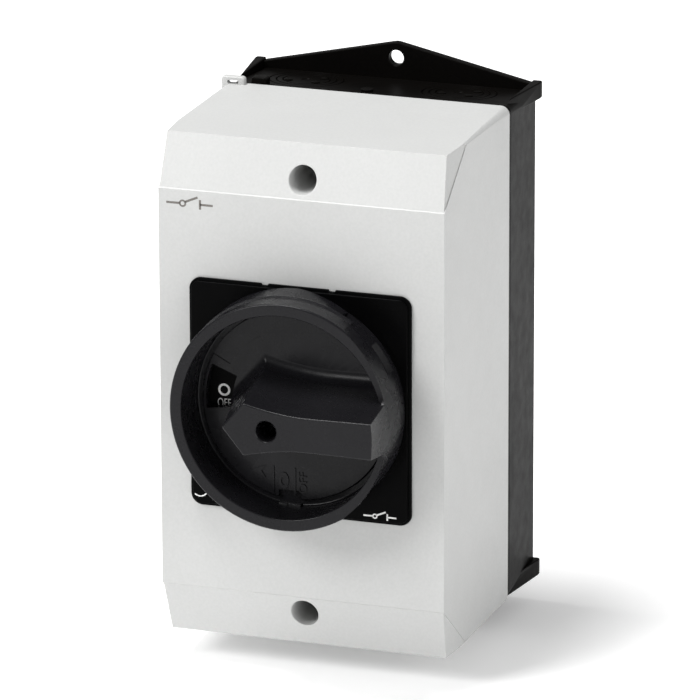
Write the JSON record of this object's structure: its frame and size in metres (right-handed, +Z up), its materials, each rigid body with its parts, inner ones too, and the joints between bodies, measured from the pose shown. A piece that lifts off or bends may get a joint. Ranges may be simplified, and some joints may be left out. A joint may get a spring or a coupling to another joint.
{
  "type": "rotary isolator switch",
  "caption": "Surface-mounted rotary isolator switch: grey moulded cover on a black base, with a lockable round handle, drive shaft and cam-operated contact chambers.",
  "frame": {"origin": "centre of the back face, in the wall plane", "axes": "+Z up the wall, -Y out from the wall towards the user, +X to the right seen from the front"},
  "size_m": [0.1016, 0.1355, 0.1936],
  "materials": {
    "cover_plastic": "fine satin, light grey",
    "base_plastic": "satin moulded black",
    "plate_plastic": "satin moulded black",
    "handle_plastic": "satin moulded charcoal",
    "block_plastic": "satin",
    "chamber_plastic": "matt ivory thermoset",
    "inner_plastic": "matt grey",
    "rubber": "matt",
    "brass": "turned",
    "copper": "silver-tipped copper alloy",
    "steel": "zinc plated",
    "spring_steel": "drawn wire"
  },
  "bodies": {
    "root": {"base_shell": "base_plastic", "cover_gasket": "rubber", "thread_inserts": "brass", "mounting_foot": "block_plastic", "foot_screws": "steel", "rear_chamber": "chamber_plastic", "front_chamber": "chamber_plastic", "fixed_contacts": "copper", "terminal_screws": "steel", "detent_housing": "block_plastic", "detent_plungers": "steel", "detent_springs": "spring_steel", "front_flange": "block_plastic", "tie_screws": "steel", "earth_terminal": "brass", "neutral_terminal": "brass", "bar_screws": "steel", "left_springs": "spring_steel", "right_springs": "spring_steel"},
    "cover": {"cover_shell": "cover_plastic", "cover_screws": "steel", "screw_seals": "rubber", "front_plate": "plate_plastic", "plate_screws": "steel", "plate_seal": "rubber", "handle_bearing": "chamber_plastic"},
    "handle": {"rotary_handle": "handle_plastic", "drive_socket": "inner_plastic", "handle_screw": "steel", "neck_seal": "rubber"},
    "padlock_slide": {"padlock_slide": "plate_plastic"},
    "rotor": {"cam_shaft": "steel", "rear_cam": "inner_plastic", "front_cam": "inner_plastic", "detent_wheel": "inner_plastic", "shaft_coupling": "steel", "coupling_screws": "steel", "extension_shaft": "steel"},
    "left_contacts": {"left_carriers": "chamber_plastic", "left_bridges": "copper"},
    "right_contacts": {"right_carriers": "chamber_plastic", "right_bridges": "copper"}
  },
  "joints": [
    {"name": "cover_lift", "type": "slide", "parent": "root", "child": "cover", "axis": [0, -1, 0], "range_m": [0, 0.09]},
    {"name": "handle_turn", "type": "hinge", "parent": "cover", "child": "handle", "pos_m": [0, -0.1, 0], "axis": [0, 1, 0], "range_deg": [0, 90]},
    {"name": "padlock_slide_push", "type": "slide", "parent": "handle", "child": "padlock_slide", "axis": [0, 0, 1], "range_m": [0, 0.004]},
    {"name": "rotor_turn", "type": "hinge", "parent": "root", "child": "rotor", "pos_m": [0, -0.03, 0], "axis": [0, 1, 0], "range_deg": [0, 90]},
    {"name": "left_contact_slide", "type": "slide", "parent": "root", "child": "left_contacts", "axis": [1, 0, 0], "range_m": [0, 0.003], "deforming": ["left_springs"]},
    {"name": "right_contact_slide", "type": "slide", "parent": "root", "child": "right_contacts", "axis": [-1, 0, 0], "range_m": [0, 0.003], "deforming": ["right_springs"]}
  ],
  "couplings": [
    {"joint": "rotor_turn", "follows": "handle_turn", "ratio": 1},
    {"joint": "left_contact_slide", "follows": "handle_turn", "m_per_rad": 0.001909},
    {"joint": "right_contact_slide", "follows": "handle_turn", "m_per_rad": 0.001909}
  ]
}
